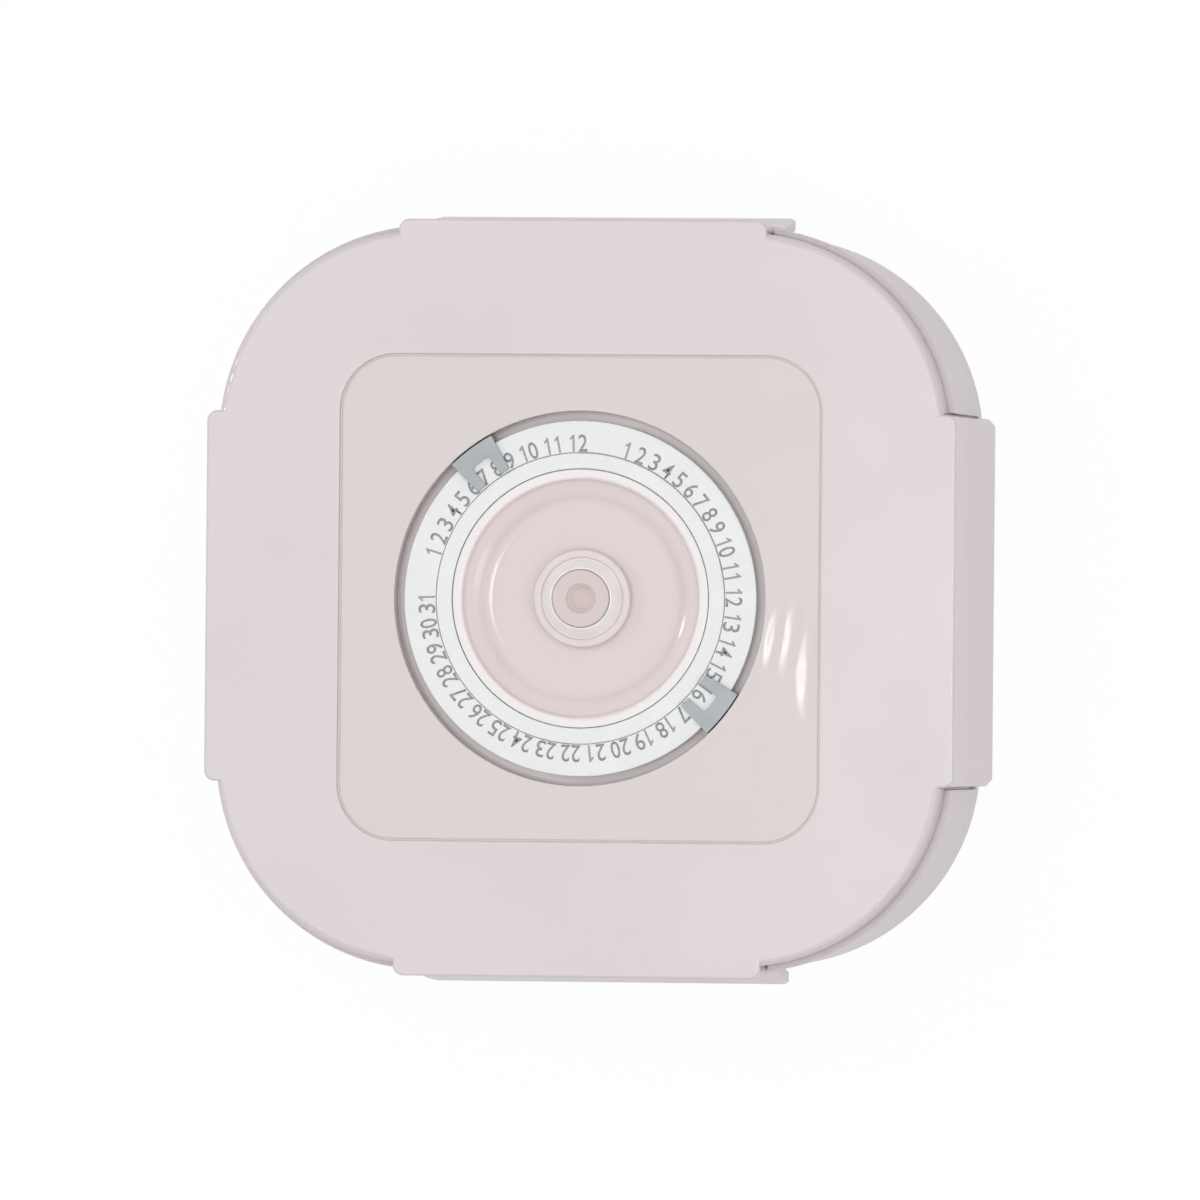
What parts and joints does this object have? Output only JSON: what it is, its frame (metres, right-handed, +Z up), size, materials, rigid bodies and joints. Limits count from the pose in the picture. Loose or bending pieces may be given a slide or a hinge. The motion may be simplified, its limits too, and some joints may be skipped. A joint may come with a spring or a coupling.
{
  "type": "vacuum seal canister",
  "caption": "Square food canister with a latched lid, a sliding date dial and a one-way valve for pumping the air out.",
  "frame": {"origin": "middle of the tub's underside, on the surface it stands on", "axes": "+Z up through the lid, +X towards the right latch and +Y towards the back latch, with the dial's months at the back left"},
  "size_m": [0.1634, 0.1634, 0.075],
  "materials": {
    "tub_plastic": "satin moulded, pale pink white",
    "lid_plastic": "glossy moulded, pale pink white",
    "latch_plastic": "satin moulded, pale pink white",
    "liner_plastic": "satin",
    "white_plastic": "fine satin, printed grey numbers on the date ring",
    "grey_plastic": "satin blue grey",
    "valve_plastic": "glossy moulded, pale pink",
    "silicone": "translucent matte",
    "steel": "drawn wire"
  },
  "bodies": {
    "container": {"container_body": "tub_plastic"},
    "lid": {"lid_plate": "lid_plastic", "lid_liner": "liner_plastic", "lid_gasket": "silicone", "date_ring": "white_plastic", "inner_ring": "white_plastic", "valve_housing": "valve_plastic", "valve_gasket": "silicone", "valve_nut": "white_plastic", "valve_spring": "steel", "hinge_pin_right": "steel", "hinge_pin_back": "steel", "hinge_pin_left": "steel", "hinge_pin_front": "steel"},
    "latch_right": {"latch_right": "latch_plastic"},
    "latch_back": {"latch_back": "latch_plastic"},
    "latch_left": {"latch_left": "latch_plastic"},
    "latch_front": {"latch_front": "latch_plastic"},
    "month_pointer": {"month_pointer": "grey_plastic"},
    "day_pointer": {"day_pointer": "grey_plastic"},
    "valve": {"valve_knob": "valve_plastic", "valve_seal": "silicone", "valve_retainer": "white_plastic"}
  },
  "joints": [
    {"name": "lid_lift", "type": "slide", "parent": "container", "child": "lid", "axis": [0, 0, 1], "range_m": [0, 0.12]},
    {"name": "latch_right_hinge", "type": "hinge", "parent": "lid", "child": "latch_right", "pos_m": [0.0774, 0, 0.0714], "axis": [0, -1, 0], "range_deg": [0, 95]},
    {"name": "latch_back_hinge", "type": "hinge", "parent": "lid", "child": "latch_back", "pos_m": [0, 0.0774, 0.0714], "axis": [1, 0, 0], "range_deg": [0, 95]},
    {"name": "latch_left_hinge", "type": "hinge", "parent": "lid", "child": "latch_left", "pos_m": [-0.0774, 0, 0.0714], "axis": [0, 1, 0], "range_deg": [0, 95]},
    {"name": "latch_front_hinge", "type": "hinge", "parent": "lid", "child": "latch_front", "pos_m": [0, -0.0774, 0.0714], "axis": [-1, 0, 0], "range_deg": [0, 95]},
    {"name": "month_pointer_turn", "type": "hinge", "parent": "lid", "child": "month_pointer", "pos_m": [0, 0, 0.0735], "axis": [0, 0, 1], "range_deg": [-35.4, 36.3]},
    {"name": "day_pointer_turn", "type": "hinge", "parent": "lid", "child": "day_pointer", "pos_m": [0, 0, 0.0735], "axis": [0, 0, 1], "range_deg": [-139.7, 111]},
    {"name": "valve_lift", "type": "slide", "parent": "lid", "child": "valve", "axis": [0, 0, 1], "range_m": [0, 0.0015], "stiffness_N_per_m": 300, "springref_m": -0.004, "deforming": ["valve_spring"]}
  ]
}
